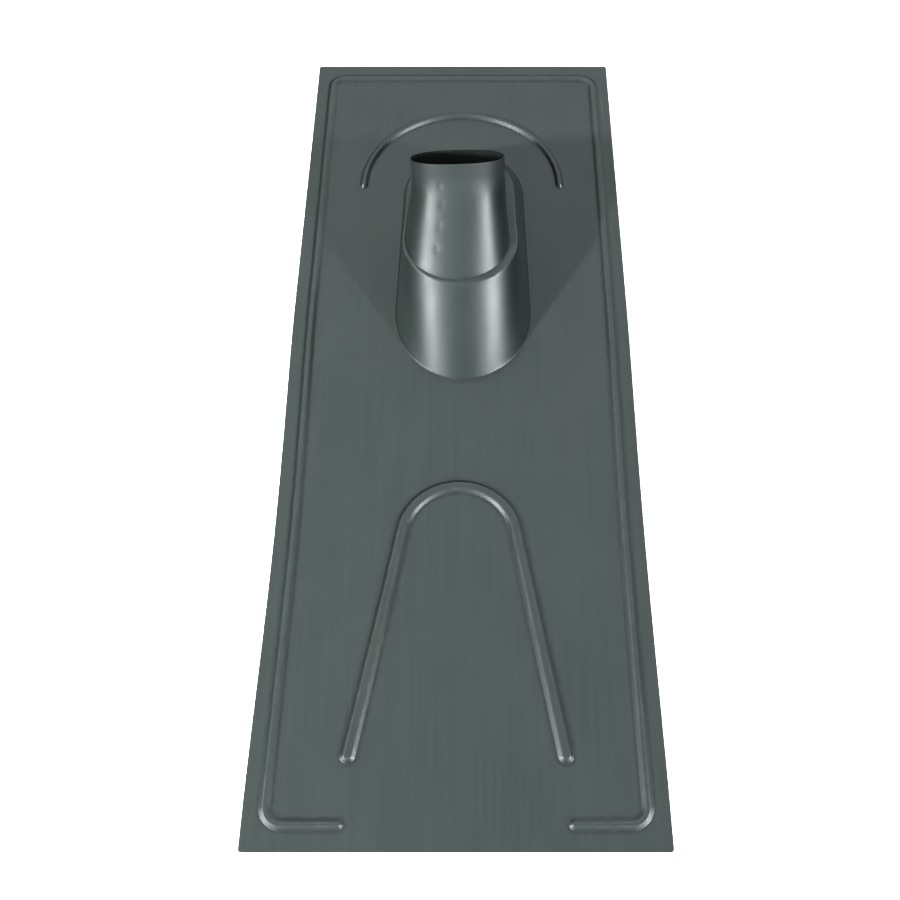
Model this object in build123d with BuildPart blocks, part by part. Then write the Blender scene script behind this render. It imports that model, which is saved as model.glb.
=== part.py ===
from build123d import *
import os
from math import asin, atan2, cos, pi, radians, sin, tan

# Universal roof tile: one sheet, pressed into a beaded plate and drawn into a leaning two-stage neck
# that lets a pipe through a pitched roof. Millimetres. X runs across the roof, Y up it, Z off it,
# and the underside of the plate lies on Z = 0 with the plate's middle at the origin.

# Sheet and plate
sheet = 1.2
plate_width = 380.0
plate_length = 1000.0
plate_corner = 2.5

# Rim bead: rib along the edges, open in the middle of the lower end
rim_width = 11.0
rim_top_width = 4.0
rim_height = 3.2
rim_side_margin = 20.0
rim_end_margin = 23.0
rim_corner = 16.0
rim_gap = 210.0

# Pipe and collar: the collar is the straight round end of the neck, square to the pipe
pipe_diameter = 100.0
pipe_clearance = 0.5
neck_tilt = 36.0
collar_length = 20.0
collar_lift = 6.5

# Upper stage of the neck: widens from the collar to the ledge
neck_flare = 4.8
neck_back_taper = 4.0
neck_foot_length = 59.0
neck_back_run = 10.0

# Ledge between the stages, level with the plate
ledge_height = 76.0
ledge_width = 5.5
ledge_back_taper = 3.0
ledge_length = 74.0

# Lower stage: widens from the ledge to the plate
lower_flare = 14.0
lower_back_flare = 13.0
lower_front_run = 60.0
lower_back_run = 63.0
neck_from_top = 230.0

# Steps round each end and along each side of the neck's outlines
arc_steps = 6
side_steps = 4

# Bend radii on the outer skin
foot_bend = 3.5
ledge_bend = 3.5

# Hood bead: rib that turns water round the back of the neck
hood_width = 11.0
hood_top_width = 4.0
hood_height = 3.2
hood_gap = 48.0
hood_shift = 16.0

# Splay bead: broader rib, an arch with spreading legs, on the apron below the neck
splay_width = 15.0
splay_top_width = 7.5
splay_height = 3.0
splay_crown_radius = 59.0
splay_angle = 10.2
splay_gap = 134.0
splay_end_margin = 84.0

# Depth of the solid core that the beads and the neck stand on in each skin
core_depth = 2 * sheet

# The collar and the circles that each outline of the neck is drawn round
bore_radius = pipe_diameter / 2 + pipe_clearance
collar_radius = bore_radius + sheet
tilt = radians(neck_tilt)

neck_front_radius = collar_radius + neck_flare
neck_back_radius = neck_front_radius - neck_back_taper
ledge_front_radius = neck_front_radius + ledge_width
ledge_back_radius = ledge_front_radius - ledge_back_taper
base_front_radius = ledge_front_radius + lower_flare
base_back_radius = ledge_back_radius + lower_back_flare

base_back_y = plate_length / 2 - neck_from_top
ledge_back_y = base_back_y - lower_back_run
ledge_front_y = ledge_back_y - ledge_length
base_front_y = ledge_front_y - lower_front_run
neck_front_y = ledge_front_y
neck_back_y = neck_front_y + neck_foot_length

# Lower end of the collar: its back edge stands collar_lift above the ledge
collar_foot_y = neck_back_y + neck_back_radius - neck_back_run - collar_radius * cos(tilt)
collar_foot_z = ledge_height + collar_lift + collar_radius * sin(tilt)

hood_radius = base_back_radius + hood_gap
hood_y = base_back_y + hood_shift
splay_crown_y = base_front_y - base_front_radius - splay_gap - splay_crown_radius
splay_end_y = splay_end_margin - plate_length / 2


def skin_shift(run, rise, inset):
    """Sideways step from the outer skin to the inner one, where a flat turns into a wall of this slope."""
    return inset * tan(atan2(rise, run) / 2)


def arc_points(y, radius, start, end):
    """Evenly spaced points on a circle about (0, y), from one angle to another."""
    angles = [start + (end - start) * step / arc_steps for step in range(arc_steps + 1)]
    return [Vector(radius * cos(angle), y + radius * sin(angle)) for angle in angles]


def side_points(start, end):
    """Evenly spaced points between the ends of a straight side."""
    return [start + (end - start) * (step / side_steps) for step in range(1, side_steps)]


def egg(z, front_y, front_radius, back_y, back_radius):
    """Level outline round a front and a back circle, as one smooth closed curve from its right side."""
    lean = asin((front_radius - back_radius) / (back_y - front_y))
    back = arc_points(back_y, back_radius, lean, pi - lean)
    front = arc_points(front_y, front_radius, pi - lean, 2 * pi + lean)
    left = side_points(back[-1], front[0])
    right = side_points(front[-1], back[0])
    middle = len(right) // 2
    with BuildSketch(Plane.XY.offset(z)) as outline:
        with BuildLine():
            Spline(*right[middle:], *back, *left, *front, *right[:middle], periodic=True)
        make_face()
    return outline.sketch


def rim_path(z):
    """Centre line of the rim bead, from its lower left end round to its lower right end."""
    side = plate_width / 2 - rim_side_margin
    end = plate_length / 2 - rim_end_margin
    stop = rim_gap / 2
    with BuildLine(Plane.XY.offset(z)) as path:
        corners = [(-side, -end), (-side, end), (side, end), (side, -end)]
        FilletPolyline((-stop, -end), *corners, (stop, -end), radius=rim_corner)
    return path.line


def hood_path(z):
    """Centre line of the hood bead, a half circle about the back of the neck."""
    with BuildLine(Plane.XY.offset(z)) as path:
        CenterArc((0, hood_y), hood_radius, 0, 180)
    return path.line


def splay_path(z):
    """Centre line of the splay bead: up one leg, over the crown and down the other leg."""
    angle = radians(splay_angle)
    touch_x = splay_crown_radius * cos(angle)
    touch_y = splay_crown_y + splay_crown_radius * sin(angle)
    end_x = touch_x + (touch_y - splay_end_y) * tan(angle)
    crown = (0, splay_crown_y + splay_crown_radius)
    with BuildLine(Plane.XY.offset(z)) as path:
        Line((-end_x, splay_end_y), (-touch_x, touch_y))
        ThreePointArc((-touch_x, touch_y), crown, (touch_x, touch_y))
        Line((touch_x, touch_y), (end_x, splay_end_y))
    return path.line


beads = [
    (rim_path, rim_width, rim_top_width, rim_height),
    (hood_path, hood_width, hood_top_width, hood_height),
    (splay_path, splay_width, splay_top_width, splay_height),
]


def level_face(part, z):
    """The level face that lies nearest to this height."""
    return part.faces().filter_by(Axis.Z).sort_by(lambda face: abs(face.center().Z - z))[0]


def form(inset):
    """Solid that fills one skin of the sheet: the outer skin at inset 0, the inner skin at inset sheet."""
    top = sheet - inset
    ledge_z = ledge_height - inset
    with BuildPart() as skin:
        # Core under the plate
        with BuildSketch(Plane.XY.offset(top)):
            if inset == 0:
                RectangleRounded(plate_width, plate_length, plate_corner)
            else:
                Rectangle(plate_width + core_depth, plate_length + core_depth)
        extrude(amount=-core_depth)

        # Beads: flat-topped bars with cone ends
        for path_at, width, top_width, height in beads:
            shift = skin_shift((width - top_width) / 2, height, inset)
            half_foot = width / 2 - shift
            half_top = top_width / 2 - shift
            path = path_at(top)
            with BuildSketch(Plane(path @ 0, x_dir=(0, 0, 1), z_dir=path % 0)):
                feet = [(0, half_foot), (0, -half_foot)]
                tops = [(height, -half_top), (height, half_top)]
                Polygon(*feet, *tops, align=None)
            sweep(path=path)
            with Locations(path @ 0, path @ 1):
                Cone(half_foot, half_top, height, align=(Align.CENTER, Align.CENTER, Align.MIN))

        # Lower stage, from the plate to the ledge, with a bend at its foot
        rise = ledge_height - sheet
        side = skin_shift(lower_flare, rise, inset)
        front = skin_shift(lower_front_run + lower_flare, rise, inset) - side
        back = side - skin_shift(lower_back_run + lower_back_flare, rise, inset)
        base_front = (base_front_y + front, base_front_radius - side)
        base_back = (base_back_y + back, base_back_radius - side)
        ledge_front = (ledge_front_y + front, ledge_front_radius - side)
        ledge_back = (ledge_back_y + back, ledge_back_radius - side)
        loft([egg(top, *base_front, *base_back), egg(ledge_z, *ledge_front, *ledge_back)])
        plate_face = skin.faces().filter_by(Axis.Z).sort_by(SortBy.AREA)[-2]
        base_foot = plate_face.inner_wires().sort_by_distance((0, base_front_y - base_front_radius, top))[0]
        fillet(base_foot.edges(), foot_bend + inset)

        # Upper stage, from the ledge to the collar, and the straight collar itself
        shift = skin_shift(neck_flare, collar_foot_z - ledge_height, inset)
        neck_front = (neck_front_y, neck_front_radius - shift)
        neck_back = (neck_back_y, neck_back_radius - shift)
        collar_foot = (0, collar_foot_y, collar_foot_z)
        collar_plane = Plane(collar_foot, x_dir=(1, 0, 0), z_dir=(0, sin(tilt), cos(tilt)))
        with BuildSketch(collar_plane) as collar:
            Circle(collar_radius - inset)
        extrude(amount=collar_length + inset)
        loft([egg(ledge_z, *neck_front, *neck_back), collar.sketch])
        fillet(level_face(skin, ledge_z).outer_wire().edges(), ledge_bend - inset)
    return skin.part


os.makedirs("parts", exist_ok=True)

# The sheet is what lies between its two skins
with BuildPart() as roof_tile:
    add(form(0))
    add(form(sheet), mode=Mode.SUBTRACT)

roof_tile.part.label = "roof_tile"
export_step(roof_tile.part, "parts/roof_tile.step")
print("roof_tile", round(roof_tile.part.volume), roof_tile.part.bounding_box().size)
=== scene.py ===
# %% [markdown]
# # A pressed roof tile with a leaning pipe neck
#
# A universal roof tile is one sheet of coated metal. A press gives it its raised beads, and deep drawing
# pulls a leaning neck out of it, so that a flue or vent pipe can pass through a pitched roof.
#
# Blender makes the same sheet again, finer than the CAD model: first the outer skin, strip by strip, then
# the thickness, and last the satin coating, the light and the camera. Everything is in metres, in the CAD
# frame: X runs across the roof, Y up it and Z off it.

# %% Load the frame
from math import cos, pi, radians, sin, tan

import bmesh
import bpy
from mathutils import Matrix, Vector, noise
from mathutils.geometry import delaunay_2d_cdt


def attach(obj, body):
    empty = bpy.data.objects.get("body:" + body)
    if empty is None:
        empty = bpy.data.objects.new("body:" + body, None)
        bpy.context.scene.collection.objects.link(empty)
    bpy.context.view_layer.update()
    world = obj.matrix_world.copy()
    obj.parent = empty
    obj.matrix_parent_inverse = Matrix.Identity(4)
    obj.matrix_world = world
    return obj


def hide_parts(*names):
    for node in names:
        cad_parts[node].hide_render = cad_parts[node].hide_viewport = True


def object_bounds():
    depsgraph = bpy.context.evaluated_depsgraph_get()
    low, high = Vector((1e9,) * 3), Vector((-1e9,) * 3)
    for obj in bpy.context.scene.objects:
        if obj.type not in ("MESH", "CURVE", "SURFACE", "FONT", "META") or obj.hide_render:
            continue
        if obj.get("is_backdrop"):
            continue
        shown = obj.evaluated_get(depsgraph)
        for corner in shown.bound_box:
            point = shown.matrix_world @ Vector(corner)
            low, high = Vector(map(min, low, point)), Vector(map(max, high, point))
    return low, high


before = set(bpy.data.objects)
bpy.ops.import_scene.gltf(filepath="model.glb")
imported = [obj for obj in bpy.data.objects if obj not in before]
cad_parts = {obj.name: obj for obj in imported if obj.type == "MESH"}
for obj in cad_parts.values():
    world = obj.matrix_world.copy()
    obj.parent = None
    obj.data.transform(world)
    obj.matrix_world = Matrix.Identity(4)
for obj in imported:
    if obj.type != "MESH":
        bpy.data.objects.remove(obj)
cad_low, cad_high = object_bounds()

mm = 0.001
plate_width = cad_high.x - cad_low.x
plate_length = cad_high.y - cad_low.y
sheet = 1.2 * mm
print("plate", round(plate_width / mm), "by", round(plate_length / mm), "mm")

# %% [markdown]
# ## Bends
#
# Sheet metal has no sharp corners: wherever it changes direction, the tool leaves a radius. A Bevel modifier
# could round a finished mesh, but it struggles where bends of different radii meet. Both the beads and the
# neck are drawn as a bent line, so one helper rounds the corners of any line instead. It puts a curve at each
# inner corner, and divides the straight runs between them, because a mesh can only bend where it has points.

# %% Round the corners of a line
bend_steps = 8
longest_reach = 0.48


def spread(start, end, steps):
    """Points between two ends, without the ends."""
    return [start.lerp(end, step / steps) for step in range(1, steps)]


def bend(start, corner, end):
    """Points on the curve that leaves start towards the corner and comes from it into end."""
    shares = [step / bend_steps for step in range(bend_steps + 1)]
    return [start.lerp(corner, share).lerp(corner.lerp(end, share), share) for share in shares]


def rounded(corners, radii, run_steps):
    """Points along a line through these corners, each inner corner turned into a bend of its radius."""
    points = [corners[0]]
    for index, radius in enumerate(radii):
        before, corner, after = corners[index:index + 3]
        back = before - corner
        onward = after - corner
        reach = radius * tan((pi - back.angle(onward)) / 2)
        reach = min(reach, longest_reach * back.length, longest_reach * onward.length)
        start = corner + back.normalized() * reach
        end = corner + onward.normalized() * reach
        points += spread(points[-1], start, run_steps[index])
        points += bend(start, corner, end)
    points += spread(points[-1], corners[-1], run_steps[-1])
    return points + [corners[-1]]


print("a bend takes", bend_steps + 1, "points")

# %% [markdown]
# ## Rings
#
# Each feature of the tile becomes a set of closed rings, one inside the other, with four-sided faces
# between them. All of them go into one mesh, and their shared edges are welded at the end, so the tile
# stays one sheet as the real one is.

# %% Start the mesh
tile_mesh = bmesh.new()


def add_rings(mesh, rings):
    """Faces between each closed ring and the next. Returns the points of each ring."""
    rows = [[mesh.verts.new(point) for point in ring] for ring in rings]
    for outer, inner in zip(rows, rows[1:]):
        for index in range(len(outer)):
            after = (index + 1) % len(outer)
            mesh.faces.new((outer[index], outer[after], inner[after], inner[index]))
    return rows


print("sheet starts with", len(tile_mesh.faces), "faces")

# %% [markdown]
# ## Beads
#
# The beads stiffen the sheet and steer rain water. In the press a rib in the die pushes the sheet up, so
# a bead has sloping flanks, a soft foot and a rounded top. A curve with a bevel object would do for the
# middle of a bead, but it ends in a flat cut.
#
# So a bead is drawn as half of its cross-section, carried round its centre line: along the right side, round
# the end, back along the left side and round the start. That gives the smooth closed ends that the real
# beads have, without a special case. The section starts a little outside the foot, on the flat sheet.

# %% Carry a cross-section round a line
plate_top = sheet
end_steps = 14
section_steps = [1, 2, 2]


def round_stations(path):
    """Places right round a line, each with the way that leads off the line there."""
    count = len(path)
    ways = [path[min(index + 1, count - 1)] - path[max(index - 1, 0)] for index in range(count)]
    ways = [way.normalized() for way in ways]
    rights = [Vector((way.y, -way.x)) for way in ways]
    angles = [pi * step / end_steps for step in range(1, end_steps)]
    stations = list(zip(path, rights))
    stations += [(path[-1], rights[-1] * cos(angle) + ways[-1] * sin(angle)) for angle in angles]
    stations += [(point, -right) for point, right in reversed(stations[:count])]
    stations += [(path[0], -rights[0] * cos(angle) - ways[0] * sin(angle)) for angle in angles]
    return stations


def bead(path, foot, top, height, foot_bend, top_bend):
    """Adds a bead of this width at its foot and at its top, and returns its outermost ring."""
    outside = Vector((foot / 2 + 2 * foot_bend, plate_top))
    foot_edge = Vector((foot / 2, plate_top))
    top_edge = Vector((top / 2, plate_top + height))
    crest = Vector((0, plate_top + height))
    section = rounded([outside, foot_edge, top_edge, crest], [foot_bend, top_bend], section_steps)
    stations = round_stations(path)
    rings = [[(*(point + out * reach), z) for point, out in stations] for reach, z in section]
    add_rings(tile_mesh, rings)
    return rings[0]


def arc(centre, radius, start, end, steps):
    """Points on an arc, from one angle in degrees to another."""
    angles = [radians(start + (end - start) * step / steps) for step in range(steps + 1)]
    return [centre + Vector((cos(angle), sin(angle))) * radius for angle in angles]


def line(start, end, spacing):
    """Points on a straight run, without its ends."""
    return spread(start, end, max(1, round((end - start).length / spacing)))


print("a bead turns round its end in", end_steps, "steps")

# %% [markdown]
# ## Rim bead
#
# The rim bead follows the edges of the plate, so that water on the tile can't run off sideways. At the
# lower end it stops on both sides of the middle and lets the water out. Its centre line is made of straight
# runs and quarter circles, and the bead helper does the rest.

# %% Make the rim bead
point_spacing = 9 * mm
rim_side_margin = 20 * mm
rim_end_margin = 23 * mm
rim_corner = 16 * mm
rim_gap = 210 * mm
rim_corner_steps = 12
rim_corners = [(-1, -1, 270), (-1, 1, 180), (1, 1, 90), (1, -1, 0)]

rim_end = plate_length / 2 - rim_end_margin
corner_x = plate_width / 2 - rim_side_margin - rim_corner
corner_y = rim_end - rim_corner
right_end = Vector((rim_gap / 2, -rim_end))
rim_path = [Vector((-rim_gap / 2, -rim_end))]
for side, end, start in rim_corners:
    centre = Vector((side * corner_x, end * corner_y))
    turn = arc(centre, rim_corner, start, start - 90, rim_corner_steps)
    rim_path += line(rim_path[-1], turn[0], point_spacing) + turn
rim_path += line(rim_path[-1], right_end, point_spacing) + [right_end]
rim_ring = bead(
    rim_path, foot=11.5 * mm, top=3.5 * mm, height=2.6 * mm, foot_bend=1.5 * mm, top_bend=2.5 * mm
)
print("rim bead", len(rim_path), "points along its line")

# %% [markdown]
# ## Hood bead
#
# The hood is a half circle behind the neck. It turns the water that comes down the roof to both sides, and
# is narrower and taller than the rim bead.

# %% Make the hood bead
hood_centre = Vector((0, 286 * mm))
hood_radius = 120 * mm
hood_steps = 100
hood_path = arc(hood_centre, hood_radius, 0, 180, hood_steps)
hood_ring = bead(
    hood_path, foot=10 * mm, top=3.5 * mm, height=4.1 * mm, foot_bend=1 * mm, top_bend=2 * mm
)
print("hood bead", round(pi * hood_radius / mm), "mm long")

# %% [markdown]
# ## Splay bead
#
# The apron below the neck is wide and flat and would drum in the wind. The splay bead stiffens it: an arch
# with spreading legs, broader than the other beads and flat on top. The legs leave the arch where it has
# their slope, so the line has no kink.

# %% Make the splay bead
splay_radius = 59 * mm
splay_crown = Vector((0, -196 * mm))
splay_angle = 10.2
splay_steps = 64
splay_end_margin = 84 * mm

splay_arch = arc(splay_crown, splay_radius, 180 - splay_angle, splay_angle, splay_steps)
leg_drop = splay_arch[0].y - (splay_end_margin - plate_length / 2)
leg_end = splay_arch[-1] + Vector((leg_drop * tan(radians(splay_angle)), -leg_drop))
leg_start = Vector((-leg_end.x, leg_end.y))
splay_path = [leg_start, *line(leg_start, splay_arch[0], point_spacing), *splay_arch]
splay_path += line(splay_arch[-1], leg_end, point_spacing) + [leg_end]
splay_ring = bead(
    splay_path, foot=15 * mm, top=7 * mm, height=3.1 * mm, foot_bend=2.2 * mm, top_bend=3 * mm
)
print("splay bead spreads to", round(2 * leg_end.x / mm), "mm")

# %% [markdown]
# ## Neck outlines
#
# Deep drawing pulls the neck out of the flat sheet in two stages, with a level ledge between them. Each
# level outline is egg-shaped: a circle at the front, a circle at the back, and straight sides that touch
# both. The front leans up the roof much more than the back, so the circles move closer together on the way
# up, until the collar is one round tube that stands plumb on the roof. The collar is not a true circle: the
# flat walls below pull it a little square.
#
# Every outline has the same number of points, in the same order, and point number ten of one always
# belongs to point number ten of the next.

# %% Draw an egg and a tilted round
half_steps = 80
side_steps = 40


def egg(z, front_y, front_radius, back_y, back_radius, stretch=1.0):
    """Level outline round a front and a back circle, the front one stretched down the roof."""
    lean = (front_radius - back_radius) / (back_y - front_y) * 180 / pi
    back = arc(Vector((0, back_y)), back_radius, lean, 180 - lean, half_steps)
    front = arc(Vector((0, 0)), front_radius, 180 - lean, 360 + lean, half_steps)
    front = [Vector((point.x, front_y + point.y * stretch)) for point in front]
    left = spread(back[-1], front[0], side_steps)
    right = spread(front[-1], back[0], side_steps)
    return [Vector((*point, z)) for point in back + left + front + right]


def round_outline(centre, tilt, radius, side_angle, squareness):
    """Round outline square to the pipe, with its points grouped as in an egg. Two is a true circle."""
    middle = Vector((0, 0))
    right = arc(middle, 1, -side_angle, side_angle, side_steps)
    back = arc(middle, 1, side_angle, 180 - side_angle, half_steps)
    left = arc(middle, 1, 180 - side_angle, 180 + side_angle, side_steps)
    front = arc(middle, 1, 180 + side_angle, 360 - side_angle, half_steps)
    flat = []
    for point in back + left[1:-1] + front + right[1:-1]:
        swell = (abs(point.x) ** squareness + abs(point.y) ** squareness) ** (-1 / squareness)
        flat.append(point * radius * swell)
    return [centre + Vector((point.x, point.y * cos(tilt), -point.y * sin(tilt))) for point in flat]


print("outlines of", 2 * (half_steps + side_steps), "points")

# %% [markdown]
# The sizes below follow the CAD model, with three small changes that suit the reflections of the real tile:
# the foot is more pointed at the front, the ledge and the upper stage are a millimetre or two wider, and the
# collar is a little narrower at its foot than at its mouth.

# %% Draw the outlines
ledge_z = 76 * mm
tilt = radians(36)
collar_radius = 51.7 * mm
collar_pinch = 0.6 * mm
collar_length = 20 * mm
collar_foot = Vector((0, 192.672, 112.888)) * mm
collar_side = 24
collar_squareness = 2.35

pipe_way = Vector((0, sin(tilt), cos(tilt)))
collar_mouth = collar_foot + pipe_way * collar_length
base = egg(
    plate_top, front_y=88 * mm, front_radius=76.5 * mm, back_y=270 * mm, back_radius=72 * mm, stretch=1.19
)
ledge = egg(ledge_z, front_y=135 * mm, front_radius=64 * mm, back_y=205 * mm, back_radius=61 * mm)
neck = egg(ledge_z, front_y=133 * mm, front_radius=57.5 * mm, back_y=192 * mm, back_radius=53.5 * mm)
collar = round_outline(collar_foot, tilt, collar_radius - collar_pinch, collar_side, collar_squareness)
mouth = round_outline(collar_mouth, tilt, collar_radius, collar_side, collar_squareness)
print("mouth", round(2 * collar_radius / mm, 1), "mm wide, neck outlines of", len(base), "points")

# %% [markdown]
# ### Lean
#
# No drawn neck comes out quite true. This one leans to its left: the foot stands right of the middle, the
# upper stage left of it, and the mouth is turned by a few degrees. Bending the finished mesh would also bend
# the plate, so the outlines are moved instead, and the walls between them follow.

# %% Lean the neck
mouth_turn = radians(2.5)
foot_aside = 3 * mm
neck_aside = -3 * mm
collar_aside = -2 * mm
mouth_aside = -3 * mm


def twisted(outline, centre, turn, aside):
    """The outline turned about the upright line through its centre, and moved sideways."""
    spin = Matrix.Rotation(turn, 3, "Z")
    return [centre + spin @ (point - centre) + Vector((aside, 0, 0)) for point in outline]


base = twisted(base, collar_foot, 0, foot_aside)
neck = twisted(neck, collar_foot, 0, neck_aside)
collar = twisted(collar, collar_foot, mouth_turn, collar_aside)
mouth = twisted(mouth, collar_mouth, mouth_turn, mouth_aside)
print("neck leans left by", round((foot_aside - mouth_aside) / mm), "mm")

# %% [markdown]
# ## Neck
#
# Read across the outlines instead of along them, point by point, and each point number gives one bent line
# from the plate up to the mouth. Its corners get the radii of the drawing tools: small at the foot and in
# the groove above the ledge, larger on the ledge's edge, and very large where the neck runs into the
# collar, because there the sheet only stretches. As with the beads, a ring of flat sheet goes round the foot.

# %% Make the neck
foot_bend = 3.5 * mm
ledge_bend = 3.5 * mm
groove_bend = 2 * mm
collar_bend = 90 * mm
lead_in = 8 * mm
profile_steps = [1, 26, 4, 22, 5]

profiles = []
count = len(base)
for index in range(count):
    along = base[(index + 1) % count] - base[index - 1]
    outside = base[index] + Vector((along.y, -along.x, 0)).normalized() * lead_in
    corners = [outside, base[index], ledge[index], neck[index], collar[index], mouth[index]]
    radii = [foot_bend, ledge_bend, groove_bend, collar_bend]
    profiles.append(rounded(corners, radii, profile_steps))
neck_rings = list(zip(*profiles))
add_rings(tile_mesh, neck_rings)
neck_ring = neck_rings[0]
print("neck rings", len(neck_rings))

# %% [markdown]
# ## Plate
#
# What is left is flat: the plate with the footprints of the beads and the neck cut out of it. A Boolean could
# cut them, but would leave long thin faces. Blender can also fill such an area with triangles that keep to
# every outline (a constrained Delaunay triangulation). That needs the outlines as one list of points, first
# the plate's own edge and then the footprints.

# %% Collect the outlines
plate_corner = 2.5 * mm
plate_corner_steps = 4
plate_corners = [(1, 1, 0), (-1, 1, 90), (-1, -1, 180), (1, -1, 270)]

edge_x = plate_width / 2 - plate_corner
edge_y = plate_length / 2 - plate_corner
edge_ring = []
for side, end, start in plate_corners:
    centre = Vector((side * edge_x, end * edge_y))
    corner = arc(centre, plate_corner, start, start + 90, plate_corner_steps)
    if edge_ring:
        edge_ring += line(edge_ring[-1], corner[0], point_spacing)
    edge_ring += corner
edge_ring += line(edge_ring[-1], edge_ring[0], point_spacing)

flat_points = []
flat_loops = []
for ring in (edge_ring, rim_ring, hood_ring, splay_ring, neck_ring):
    flat_loops.append(list(range(len(flat_points), len(flat_points) + len(ring))))
    flat_points += [Vector((point[0], point[1])) for point in ring]
print(len(flat_loops), "outlines with", len(flat_points), "points")

# %% [markdown]
# A grid of points between the outlines keeps the triangles small, so that the sheet can be bent a little
# later. Grid points that come too near to an outline are left out, because they would make slivers. To find
# them quickly, the outline points are sorted into square boxes first, and only nine boxes are looked into.

# %% Fill the flat plate
keep_off = 0.6 * point_spacing
fill_tolerance = 1e-7
inside_plate_only = [0]

taken = {}
for point in flat_points:
    taken.setdefault((int(point.x // keep_off), int(point.y // keep_off)), []).append(point)


def is_free(point):
    """No outline point is near."""
    column, row = int(point.x // keep_off), int(point.y // keep_off)
    near = [taken.get((column + i, row + j), []) for i in (-1, 0, 1) for j in (-1, 0, 1)]
    return all((point - other).length > keep_off for group in near for other in group)


columns = int(plate_width / point_spacing)
rows = int(plate_length / point_spacing)
grid = [
    Vector(((column + row % 2 / 2 - columns / 2) * point_spacing, (row - rows / 2) * point_spacing))
    for row in range(1, rows)
    for column in range(1, columns)
]
flat_points += [point for point in grid if is_free(point)]

filled = delaunay_2d_cdt(flat_points, [], flat_loops, 0, fill_tolerance)
corners, triangles, inside_of = filled[0], filled[2], filled[5]
plate_verts = [tile_mesh.verts.new((point.x, point.y, plate_top)) for point in corners]
for triangle, inside in zip(triangles, inside_of):
    if inside == inside_plate_only:
        tile_mesh.faces.new([plate_verts[index] for index in triangle])
print("plate filled with", sum(inside == inside_plate_only for inside in inside_of), "triangles")

# %% [markdown]
# ## Weld
#
# The strips meet along outlines that they share, so points that lie on each other become one. After that
# only two edges of the sheet may be open: the outer edge of the plate and the mouth of the neck. All faces
# have to look outwards, which one large flat face can tell.

# %% Weld the strips
weld_distance = 0.02 * mm
level = 0.99

bmesh.ops.remove_doubles(tile_mesh, verts=tile_mesh.verts, dist=weld_distance)
loose = [vert for vert in tile_mesh.verts if not vert.link_faces]
bmesh.ops.delete(tile_mesh, geom=loose, context="VERTS")
bmesh.ops.recalc_face_normals(tile_mesh, faces=tile_mesh.faces)
level_faces = [face for face in tile_mesh.faces if abs(face.normal.z) > level]
if max(level_faces, key=lambda face: face.calc_area()).normal.z < 0:
    bmesh.ops.reverse_faces(tile_mesh, faces=tile_mesh.faces)

open_length = sum(edge.calc_length() for edge in tile_mesh.edges if edge.is_boundary)
crowded = sum(len(edge.link_faces) > 2 for edge in tile_mesh.edges)
print("open edge", round(open_length / mm), "mm, of which the mouth is", round(2 * pi * collar_radius / mm))
print("edges with more than two faces:", crowded)

tile = bpy.data.objects.new("tile_sheet", bpy.data.meshes.new("tile_sheet"))
bpy.context.scene.collection.objects.link(tile)
tile_mesh.to_mesh(tile.data)
tile_mesh.free()

# %% [markdown]
# ## The press leaves its mark
#
# No pressed sheet is quite flat. Drawing the neck pulls the long edges of the plate in by a few millimetres,
# the flat areas buckle by a fraction of one, and a few small dents show beside the streak of light on the
# neck. Sculpting could do this by hand, but a function that moves each point by its place can be read and
# changed. It works on the bare skin, before the sheet has a thickness.

# %% Bend and dent the sheet
draw_centre = -190 * mm
draw_reach = 290 * mm
draw_left = 3.4 * mm
draw_right = 2.0 * mm
buckle_height = 0.45 * mm
buckle_length = 170 * mm
buckle_stretch = 0.6
dent_radius = 5 * mm
dent_depth = 0.65 * mm
dent_spots = [(-21, 153, 137), (-19, 139, 126), (-22, 120, 110), (-24, 104, 95)]

sheet_points = [vert.co.copy() for vert in tile.data.vertices]
dents = [min(sheet_points, key=lambda point: (point - Vector(spot) * mm).length) for spot in dent_spots]


def pressed(point, normal):
    """Place of a point of the sheet after the press."""
    pull = max(0, 1 - ((point.y - draw_centre) / draw_reach) ** 2) ** 2
    drawn = draw_left if point.x < 0 else draw_right
    buckle = noise.noise(Vector((point.x, point.y * buckle_stretch, 0)) / buckle_length)
    dent = sum(max(0, 1 - ((point - spot).length / dent_radius) ** 2) ** 2 for spot in dents)
    moved = point - normal * dent * dent_depth
    moved.x -= pull * drawn * point.x / (plate_width / 2)
    moved.z += buckle * buckle_height
    return moved


tile.data.update()
normals = [vert.normal.copy() for vert in tile.data.vertices]
for vert, normal in zip(tile.data.vertices, normals):
    vert.co = pressed(vert.co, normal)
tile.data.update()
print("edges drawn in by up to", round(draw_left / mm, 1), "mm, and", len(dents), "dents")

# %% [markdown]
# ## Worn and hollow bends
#
# A coat is thinnest where the sheet bends outwards, and that is also where hands and boots rub it. Where the
# sheet bends inwards, the coat is darkened instead, as painted shade in the hollows. So the material needs to
# know how sharply each point bends, and which way.
# The mesh can tell: along every edge the normal turns, and the turn per length is the curvature. It is kept
# on the points as an attribute that the material reads. Blender's Pointiness could do the same, but only in
# one render engine.

# %% Measure the bends
worn_from = 90
worn_full = 320
hollow_from = -60
hollow_full = -320
shortest = 1e-12


def portion(value, start, full):
    """How far a value is on its way from start to full, from nothing to one."""
    return min(1, max(0, (value - start) / (full - start)))


turns_at = [0.0] * len(tile.data.vertices)
dips_at = [0.0] * len(tile.data.vertices)
for edge in tile.data.edges:
    first, second = [tile.data.vertices[index] for index in edge.vertices]
    step = second.co - first.co
    turn = (second.normal - first.normal).dot(step) / max(step.length_squared, shortest)
    for index in edge.vertices:
        turns_at[index] = max(turns_at[index], turn)
        dips_at[index] = min(dips_at[index], turn)
worn = [portion(turn, worn_from, worn_full) for turn in turns_at]
hollow = [portion(dip, hollow_from, hollow_full) for dip in dips_at]
print("points on a sharp bend:", sum(value > 0.5 for value in worn))

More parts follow.
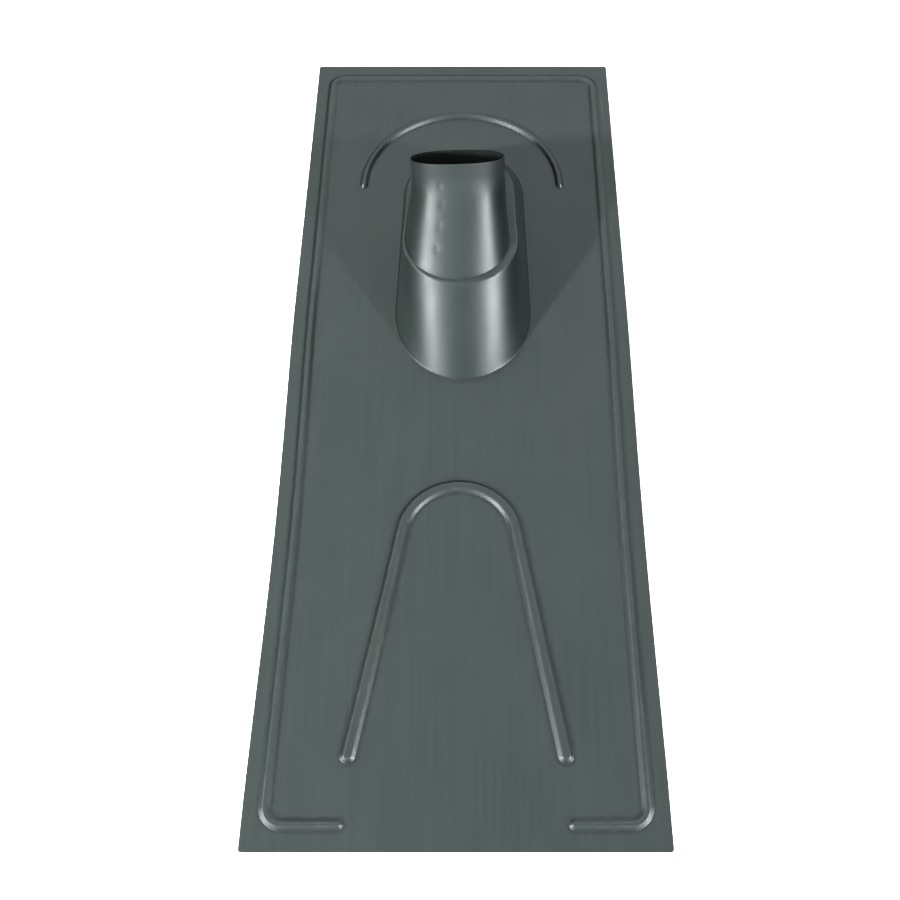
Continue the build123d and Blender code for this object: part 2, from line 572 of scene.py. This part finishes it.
# %% [markdown]
# The collar is the part that the press stretches most, and there the coat loses its gloss. How far a point
# lies up the pipe's own direction gives a soft start for that. The cut edge of the mouth counts as worn.

# %% Mark the collar
matt_from = -14 * mm
matt_full = 6 * mm

matt = [0.0] * len(tile.data.vertices)
for vert in tile.data.vertices:
    up_pipe = (vert.co - collar_foot).dot(pipe_way)
    if vert.co.z > ledge_z:
        matt[vert.index] = portion(up_pipe, matt_from, matt_full)
        worn[vert.index] = 1 if up_pipe > collar_length - sheet else worn[vert.index]
# hollow_bend tells the material where to paint shade into the inward bends.
for name, values in (("worn_bend", worn), ("hollow_bend", hollow), ("matt_collar", matt)):
    tile.data.attributes.new(name, "FLOAT", "POINT").data.foreach_set("value", values)
print("points on the matt collar:", sum(value > 0.5 for value in matt))

# %% [markdown]
# ## Thickness
#
# The sheet is 1.2 mm thick everywhere. Solidify adds the second skin on the inside and closes the cut
# edges. The faces are then shaded smooth, apart from the cut edges, which stay crisp.

# %% Give the sheet its thickness
crisp_angle = radians(50)

skin_faces = len(tile.data.polygons)
thickness = tile.modifiers.new("sheet thickness", "SOLIDIFY")
thickness.thickness = sheet
thickness.offset = -1
thickness.use_even_offset = True
thickness.use_quality_normals = True
bpy.context.view_layer.objects.active = tile
bpy.ops.object.modifier_apply(modifier=thickness.name)

tile.data.polygons.foreach_set("use_smooth", [True] * len(tile.data.polygons))
tile.data.set_sharp_from_angle(angle=crisp_angle)
triangle_count = sum(len(face.vertices) - 2 for face in tile.data.polygons)
print("sheet of", triangle_count, "triangles")

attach(tile, "root")
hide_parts("roof_tile")

# %% [markdown]
# ## Coating
#
# The sheet carries a satin anthracite coat: a dark green grey that reflects light in a soft wide lobe. An
# image of a painted sheet would do, but noise made in the shader stays sharp at any distance and needs no
# file. One helper adds a noise texture that is measured in millimetres, and can be drawn out along the
# roof, because the roller that coats a sheet leaves streaks in one direction. The others move a value to
# another range, mix two colours and multiply.
#
# The helpers add to the node tree that nodes and links stand for at the time, so that the underside and the
# studio light can use them later.

# %% Start the coating
coating = bpy.data.materials.new("satin_coating")
coating.use_nodes = True
nodes = coating.node_tree.nodes
links = coating.node_tree.links
surface = nodes["Principled BSDF"]
place = nodes.new("ShaderNodeTexCoord").outputs["Object"]


def grain(size, detail, drawn_out=1.0):
    """Noise whose spots are this many metres wide, and longer along the roof if drawn out."""
    stretch = nodes.new("ShaderNodeMapping")
    stretch.inputs["Scale"].default_value = (1 / size, 1 / size / drawn_out, 1 / size)
    texture = nodes.new("ShaderNodeTexNoise")
    texture.inputs["Scale"].default_value = 1
    texture.inputs["Detail"].default_value = detail
    links.new(place, stretch.inputs["Vector"])
    links.new(stretch.outputs["Vector"], texture.inputs["Vector"])
    return texture.outputs["Fac"]


def remap(value, old_range, new_range):
    """Moves a value from one range to another, softly and without passing the ends."""
    shift = nodes.new("ShaderNodeMapRange")
    shift.interpolation_type = "SMOOTHSTEP"
    for socket, number in zip(("From Min", "From Max", "To Min", "To Max"), (*old_range, *new_range)):
        shift.inputs[socket].default_value = number
    links.new(value, shift.inputs["Value"])
    return shift.outputs["Result"]


def blend(share, first, second):
    """Mixes two colours by a share. A colour is a socket or three numbers."""
    mix = nodes.new("ShaderNodeMix")
    mix.data_type = "RGBA"
    links.new(share, mix.inputs["Factor"])
    for socket, colour in ((mix.inputs[6], first), (mix.inputs[7], second)):
        if isinstance(colour, tuple):
            socket.default_value = (*colour, 1)
        else:
            links.new(colour, socket)
    return mix.outputs[2]


def times(first, second):
    """Product of two values."""
    product = nodes.new("ShaderNodeMath")
    product.operation = "MULTIPLY"
    links.new(first, product.inputs[0])
    if isinstance(second, float):
        product.inputs[1].default_value = second
    else:
        links.new(second, product.inputs[1])
    return product.outputs["Value"]


print("coating starts with", len(nodes), "nodes")

# %% [markdown]
# ### Colour
#
# Up close the coat is not one colour. Broad clouds come from its thickness, streaks from the roller, and
# tiny specks from the pigment. Each is a small step between two close greys, so that none of them shows by
# itself.

# %% Mix the colour
none_to_full = (0, 1)
cloud_size = 90 * mm
cloud_band = (0.3, 0.7)
streak_size = 4 * mm
streak_length = 40.0
streak_band = (0.35, 0.65)
streak_share = 0.42
speck_size = 0.9 * mm
speck_band = (0.62, 0.78)
speck_shares = (0, 0.5)
coat_dark = (0.0164, 0.0216, 0.0212)
coat_light = (0.0204, 0.0255, 0.0241)
streak_colour = (0.0240, 0.0296, 0.0285)
speck_colour = (0.045, 0.053, 0.051)

clouds = remap(grain(cloud_size, detail=4), cloud_band, none_to_full)
streaks = remap(grain(streak_size, detail=3, drawn_out=streak_length), streak_band, none_to_full)
specks = remap(grain(speck_size, detail=2), speck_band, speck_shares)
coat = blend(clouds, coat_dark, coat_light)
coat = blend(times(streaks, streak_share), coat, streak_colour)
coat = blend(specks, coat, speck_colour)
print("colour takes the coating to", len(nodes), "nodes")

# %% [markdown]
# ### Rubbed bends and shaded hollows
#
# On the outward bends the coat is rubbed a little paler, and the hollows are painted darker, as shade that
# falls in them. The two attributes that were measured on the mesh say where. Noise breaks both lines up, so
# that they come and go along the bends, as rubbing does on a tile that has been handled.

# %% Rub the bends and paint shade into the hollows
rub_size = 12 * mm
rub_band = (0.35, 0.7)
rub_shares = (0.1, 0.5)
rubbed_colour = (0.042, 0.050, 0.048)
# The next three values paint shade into the hollows.
shade_band = (0.3, 0.6)
shade_shares = (0.35, 0.7)
painted_shade_colour = (0.006, 0.008, 0.008)


def measured(name):
    """Value that was stored on the points of the mesh under this name."""
    attribute = nodes.new("ShaderNodeAttribute")
    attribute.attribute_name = name
    return attribute.outputs["Fac"]


rubbed = times(measured("worn_bend"), remap(grain(rub_size, detail=3), rub_band, rub_shares))
coat = blend(rubbed, coat, rubbed_colour)
# Painted shade: the inward bends are blended towards an almost black colour, as if shade lay in them.
shaded_hollows = times(measured("hollow_bend"), remap(grain(rub_size, detail=3), shade_band, shade_shares))
coat = blend(shaded_hollows, coat, painted_shade_colour)
print("wear takes the coating to", len(nodes), "nodes")

# %% [markdown]
# ### Rust run
#
# On the right border a short brown line runs down from the upper end, where wet metal has stood on the
# coat. It is a narrow band in X, faded at both ends in Y and torn by noise.

# %% Stain the border
run_line = 180.5 * mm
run_width = 1.6 * mm
run_top = 448 * mm
run_top_fade = 15 * mm
run_foot = 392 * mm
run_foot_fade = 25 * mm
run_grain = 3 * mm
run_length = 4.0
run_band = (0.3, 0.6)
run_shares = (0.2, 0.8)
run_colour = (0.075, 0.050, 0.036)
full_to_none = (1, 0)

axes = nodes.new("ShaderNodeSeparateXYZ")
links.new(place, axes.inputs["Vector"])
from_line = nodes.new("ShaderNodeMath")
from_line.operation = "SUBTRACT"
from_line.inputs[1].default_value = run_line
links.new(axes.outputs["X"], from_line.inputs[0])
off_line = nodes.new("ShaderNodeMath")
off_line.operation = "ABSOLUTE"
links.new(from_line.outputs["Value"], off_line.inputs[0])
across = remap(off_line.outputs["Value"], (0, run_width), full_to_none)
run = times(across, remap(axes.outputs["Y"], (run_foot, run_foot + run_foot_fade), none_to_full))
run = times(run, remap(axes.outputs["Y"], (run_top - run_top_fade, run_top), full_to_none))
run = times(run, remap(grain(run_grain, detail=3, drawn_out=run_length), run_band, run_shares))
coat = blend(run, coat, run_colour)
links.new(coat, surface.inputs["Base Color"])
print("rust run", round((run_top - run_foot) / mm), "mm long")

# %% [markdown]
# ### Gloss
#
# Smears from hands make the lobe of the reflection wider or narrower, so roughness moves a little around the
# middle value of a satin finish. The stretched collar is rougher still.
#
# Plain paint has an index of about 1.5. This coat is given more, which is a choice for the look and not a
# measured value: a reflection seen head-on is then strong enough with dim lamps, and those don't burn out
# where the sheet is seen along its surface. The tint takes a little red out of the reflections.

# %% Vary the gloss
smear_size = 45 * mm
smear_length = 2.5
smear_band = (0.3, 0.7)
roughness_span = (0.34, 0.40)
matt_roughness = 0.25
gloss_index = 2.2
gloss_tint = (0.94, 1.0, 1.0, 1)

gloss = nodes.new("ShaderNodeMath")
gloss.operation = "ADD"
smears = grain(smear_size, detail=5, drawn_out=smear_length)
links.new(remap(smears, smear_band, roughness_span), gloss.inputs[0])
links.new(times(measured("matt_collar"), matt_roughness), gloss.inputs[1])
links.new(gloss.outputs["Value"], surface.inputs["Roughness"])
surface.inputs["IOR"].default_value = gloss_index
surface.inputs["Specular Tint"].default_value = gloss_tint
print("roughness from", roughness_span[0], "to", roughness_span[1])

# %% [markdown]
# ### Pebble
#
# The coat dries with a fine skin like the peel of an orange, and the sheet below has faint ripples along the
# rolling direction. Both are far too small to model, so a Bump node tilts the normals instead. Two of them
# are chained, each with the real height of what it stands for.

# %% Add the pebble
pebble_size = 1.6 * mm
pebble_height = 0.007 * mm
ripple_size = 9 * mm
ripple_length = 3.0
ripple_height = 0.02 * mm

ripple = nodes.new("ShaderNodeBump")
ripple.inputs["Strength"].default_value = 1
ripple.inputs["Distance"].default_value = ripple_height
links.new(grain(ripple_size, detail=2, drawn_out=ripple_length), ripple.inputs["Height"])
pebble = nodes.new("ShaderNodeBump")
pebble.inputs["Strength"].default_value = 1
pebble.inputs["Distance"].default_value = pebble_height
links.new(grain(pebble_size, detail=2), pebble.inputs["Height"])
links.new(ripple.outputs["Normal"], pebble.inputs["Normal"])
links.new(pebble.outputs["Normal"], surface.inputs["Normal"])
tile.data.materials.append(coating)
print("coating of", len(nodes), "nodes")

# %% [markdown]
# ### Underside
#
# Only the weather side gets the full coat. The underside, which also lines the neck, keeps a thin matt
# primer,
# made almost black: partly the primer's own colour and partly painted shade, so that the inside of the neck
# stays dark. Solidify added its faces in one block after those of the outer skin, so they can be given a
# second material by their place in the list.

# %% Prime the underside
primer_shade_dark = (0.008, 0.010, 0.010)
primer_shade_light = (0.014, 0.016, 0.016)
primer_roughness = 0.75
mottle_length = 6.0
mottle_band = (0.3, 0.7)

primer = bpy.data.materials.new("primer_and_painted_shade")
primer.use_nodes = True
nodes = primer.node_tree.nodes
links = primer.node_tree.links
place = nodes.new("ShaderNodeTexCoord").outputs["Object"]
matt_surface = nodes["Principled BSDF"]
mottle = remap(grain(streak_size, detail=4, drawn_out=mottle_length), mottle_band, none_to_full)
# Painted shade: the primer is kept almost black, so that the inside of the neck looks shaded.
links.new(blend(mottle, primer_shade_dark, primer_shade_light), matt_surface.inputs["Base Color"])
matt_surface.inputs["Roughness"].default_value = primer_roughness
tile.data.materials.append(primer)
inner_faces = tile.data.polygons[skin_faces:2 * skin_faces]
for face in inner_faces:
    face.material_index = 1
print("primer on", len(inner_faces), "of", len(tile.data.polygons), "faces")

# %% [markdown]
# ## Floor
#
# The tile lies on a white floor that turns up into a round wall, as paper does in a photo studio, so that no
# horizon shows from any side. A plane would be simpler, but it ends somewhere. The wall is made of rings, as
# the tile is.
#
# A white floor throws light on whatever lies on it, and would fill the dark sides of the neck. So this one is
# hidden from the rays that light the tile and from its reflections, and shows only in the picture itself.

# %% Roll out the floor
floor_reach = 5.0
floor_z = -1.2 * mm
sweep_radius = 2.0
sweep_steps = 12
wall_height = 9.0
round_steps = 96

sweep = [(floor_reach, floor_z)]
for step in range(1, sweep_steps + 1):
    angle = pi / 2 * step / sweep_steps
    rise_here = sweep_radius * (1 - cos(angle))
    sweep.append((floor_reach + sweep_radius * sin(angle), floor_z + rise_here))
sweep.append((floor_reach + sweep_radius, wall_height))
around = [2 * pi * step / round_steps for step in range(round_steps)]
floor_rings = [[(reach * cos(turn), reach * sin(turn), z) for turn in around] for reach, z in sweep]

floor_mesh = bmesh.new()
floor_rows = add_rings(floor_mesh, floor_rings)
floor_mesh.faces.new(floor_rows[0])
floor = bpy.data.objects.new("studio_floor", bpy.data.meshes.new("studio_floor"))
scene = bpy.context.scene
scene.collection.objects.link(floor)
floor_mesh.to_mesh(floor.data)
floor_mesh.free()
floor.visible_diffuse = False
floor.visible_glossy = False
floor.visible_shadow = False
print("floor", 2 * (floor_reach + sweep_radius), "m across")

# %% [markdown]
# Studio paper is matt and close to white. Stronger lamps would whiten it too, but they would also change the
# tile, so the paper glows a little by itself where the lamps don't reach.

# %% Paint the floor
floor_colour = (0.9, 0.9, 0.9, 1)
floor_roughness = 0.9
floor_glow_colour = (1, 1, 1, 1)
floor_glow = 0.5

floor_paint = bpy.data.materials.new("pale_floor")
floor_paint.use_nodes = True
paint_inputs = floor_paint.node_tree.nodes["Principled BSDF"].inputs
paint_inputs["Base Color"].default_value = floor_colour
paint_inputs["Roughness"].default_value = floor_roughness
paint_inputs["Emission Color"].default_value = floor_glow_colour
paint_inputs["Emission Strength"].default_value = floor_glow
floor.data.materials.append(floor_paint)
floor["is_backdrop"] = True
print("floor glows with", floor_glow)

# %% [markdown]
# ## Studio light
#
# The plate takes its grey from what it mirrors, so the light is built as the room that the coat would see: a
# wide soft ceiling, brighter on the left and dimmer straight overhead and towards the front, a pale wall
# behind the neck, and dark sides down to the horizon, which keep the sides of the neck dark. A picture of a
# real studio could light the scene too, but a few soft steps by direction are easy to read and change.
#
# The view's gamma deepens the mid greys, as in a contrasty product picture, and a little exposure brings the
# highlights back.

# %% Light the studio
scene.view_settings.view_transform = "Standard"
scene.view_settings.gamma = 0.8
scene.view_settings.exposure = 0.6

ceiling_light = 0.48
ceiling_band = (0.3, 0.62)
horizon_light = 0.012
zenith_share = 0.6
zenith_band = (0.86, 0.985)
front_share = 0.45
front_band = (-0.88, -0.58)
side_band = (-0.5, 0.5)
left_share = 1.3
right_share = 0.75
left_tint = (0.95, 1.0, 0.97)
right_tint = (0.93, 0.98, 1.0)
wall_way = (0.45, 0.89, 0)
wall_light = 0.65
wall_band = (0.6, 0.85)
wall_foot_band = (0.06, 0.2)

studio = bpy.data.worlds.new("white_studio")
studio.use_nodes = True
nodes = studio.node_tree.nodes
links = studio.node_tree.links
sky = nodes["Background"]
toward = nodes.new("ShaderNodeSeparateXYZ")
generated = nodes.new("ShaderNodeTexCoord").outputs["Generated"]
links.new(generated, toward.inputs["Vector"])

sideways = remap(toward.outputs["X"], side_band, (left_share, right_share))
upward = remap(toward.outputs["Z"], ceiling_band, (horizon_light, ceiling_light))
overhead = remap(toward.outputs["Z"], zenith_band, (1, zenith_share))
frontward = remap(toward.outputs["Y"], front_band, (front_share, 1))
ceiling = times(times(upward, sideways), times(overhead, frontward))

backward = nodes.new("ShaderNodeVectorMath")
backward.operation = "DOT_PRODUCT"
backward.inputs[1].default_value = wall_way
links.new(generated, backward.inputs[0])
wall = remap(backward.outputs["Value"], wall_band, (0, wall_light))
wall = times(wall, remap(toward.outputs["Z"], wall_foot_band, none_to_full))

brighter = nodes.new("ShaderNodeMath")
brighter.operation = "MAXIMUM"
links.new(ceiling, brighter.inputs[0])
links.new(wall, brighter.inputs[1])
links.new(brighter.outputs["Value"], sky.inputs["Strength"])
tint = blend(remap(toward.outputs["X"], side_band, none_to_full), left_tint, right_tint)
links.new(tint, sky.inputs["Color"])
scene.world = studio
print("studio light of", len(nodes), "nodes")

# %% [markdown]
# ### Lamps
#
# Two small lamps at the front left and the front right throw the two clear shadows across the plate. They
# are too small to look good in a reflection, so they are hidden from it. Four larger panels do the opposite:
# they show only in reflections, as the soft streaks down the neck. All six point at the neck.

# %% Hang the lamps
neck_middle = Vector((0, 130 * mm, 70 * mm))
shadow_way = (1.33, -1.17, 1)
shadow_distance = 3.5
shadow_size = (0.2, 0.2)
panel_way = (0.791, -0.457, 0.407)
panel_size = (1.0, 0.46)
inner_way = (0.511, -0.757, 0.407)
inner_size = (0.6, 0.46)
panel_distance = 2
panel_tint = (1.0, 0.96, 0.98)


def lamp(name, side, way, distance, size, power, colour):
    """Lamp of this width and height that shines on the neck from one side."""
    data = bpy.data.lights.new(name, "AREA")
    data.shape = "RECTANGLE"
    data.size, data.size_y = size
    data.energy = power
    data.color = colour
    made = bpy.data.objects.new(name, data)
    direction = Vector((side * way[0], way[1], way[2])).normalized()
    made.location = neck_middle + direction * distance
    made.rotation_euler = direction.to_track_quat("Z", "Y").to_euler()
    scene.collection.objects.link(made)
    return made


for name, side, power, tint in (("left_lamp", -1, 290, left_tint), ("right_lamp", 1, 150, right_tint)):
    lamp(name, side, shadow_way, shadow_distance, shadow_size, power, tint).visible_glossy = False
for name, side, power in (("left_panel", -1, 11), ("right_panel", 1, 11.3)):
    lamp(name, side, panel_way, panel_distance, panel_size, power, panel_tint).visible_diffuse = False
for name, side, power in (("left_inner", -1, 1.4), ("right_inner", 1, 1.4)):
    lamp(name, side, inner_way, panel_distance, inner_size, power, panel_tint).visible_diffuse = False
print("lamps:", len(bpy.data.lights))

# %% [markdown]
# ## Camera
#
# The camera stands in front of the lower end and looks down on the plate at 59 degrees. The picture's middle
# lies a little left of the lens's own axis, as in a picture cropped on one side, and a small shift of the
# lens does the same.

# %% Place the camera
camera_spot = Vector((17.5, -692, 1010)) * mm
camera_down = radians(59.3)
lens_length = 44.4
lens_shift = -0.0289
sensor_width = 36

camera_data = bpy.data.cameras.new("camera")
camera_data.sensor_width = sensor_width
camera_data.lens = lens_length
camera_data.shift_x = lens_shift
camera = bpy.data.objects.new("camera", camera_data)
camera.location = camera_spot
looking = Vector((0, cos(camera_down), -sin(camera_down)))
camera.rotation_euler = looking.to_track_quat("-Z", "Y").to_euler()
scene.collection.objects.link(camera)
scene.camera = camera
print("camera", round(camera_spot.length, 2), "m from the middle of the plate")

# %% [markdown]
# ## Size and finish
#
# The last cell notes how much the sheet's own box differs from the CAD model's box.

# %% Note the size and finish
seen_low, seen_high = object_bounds()
growth = (seen_high - seen_low) - (cad_high - cad_low)
print("box grows by", [round(side / mm, 2) for side in growth], "mm")
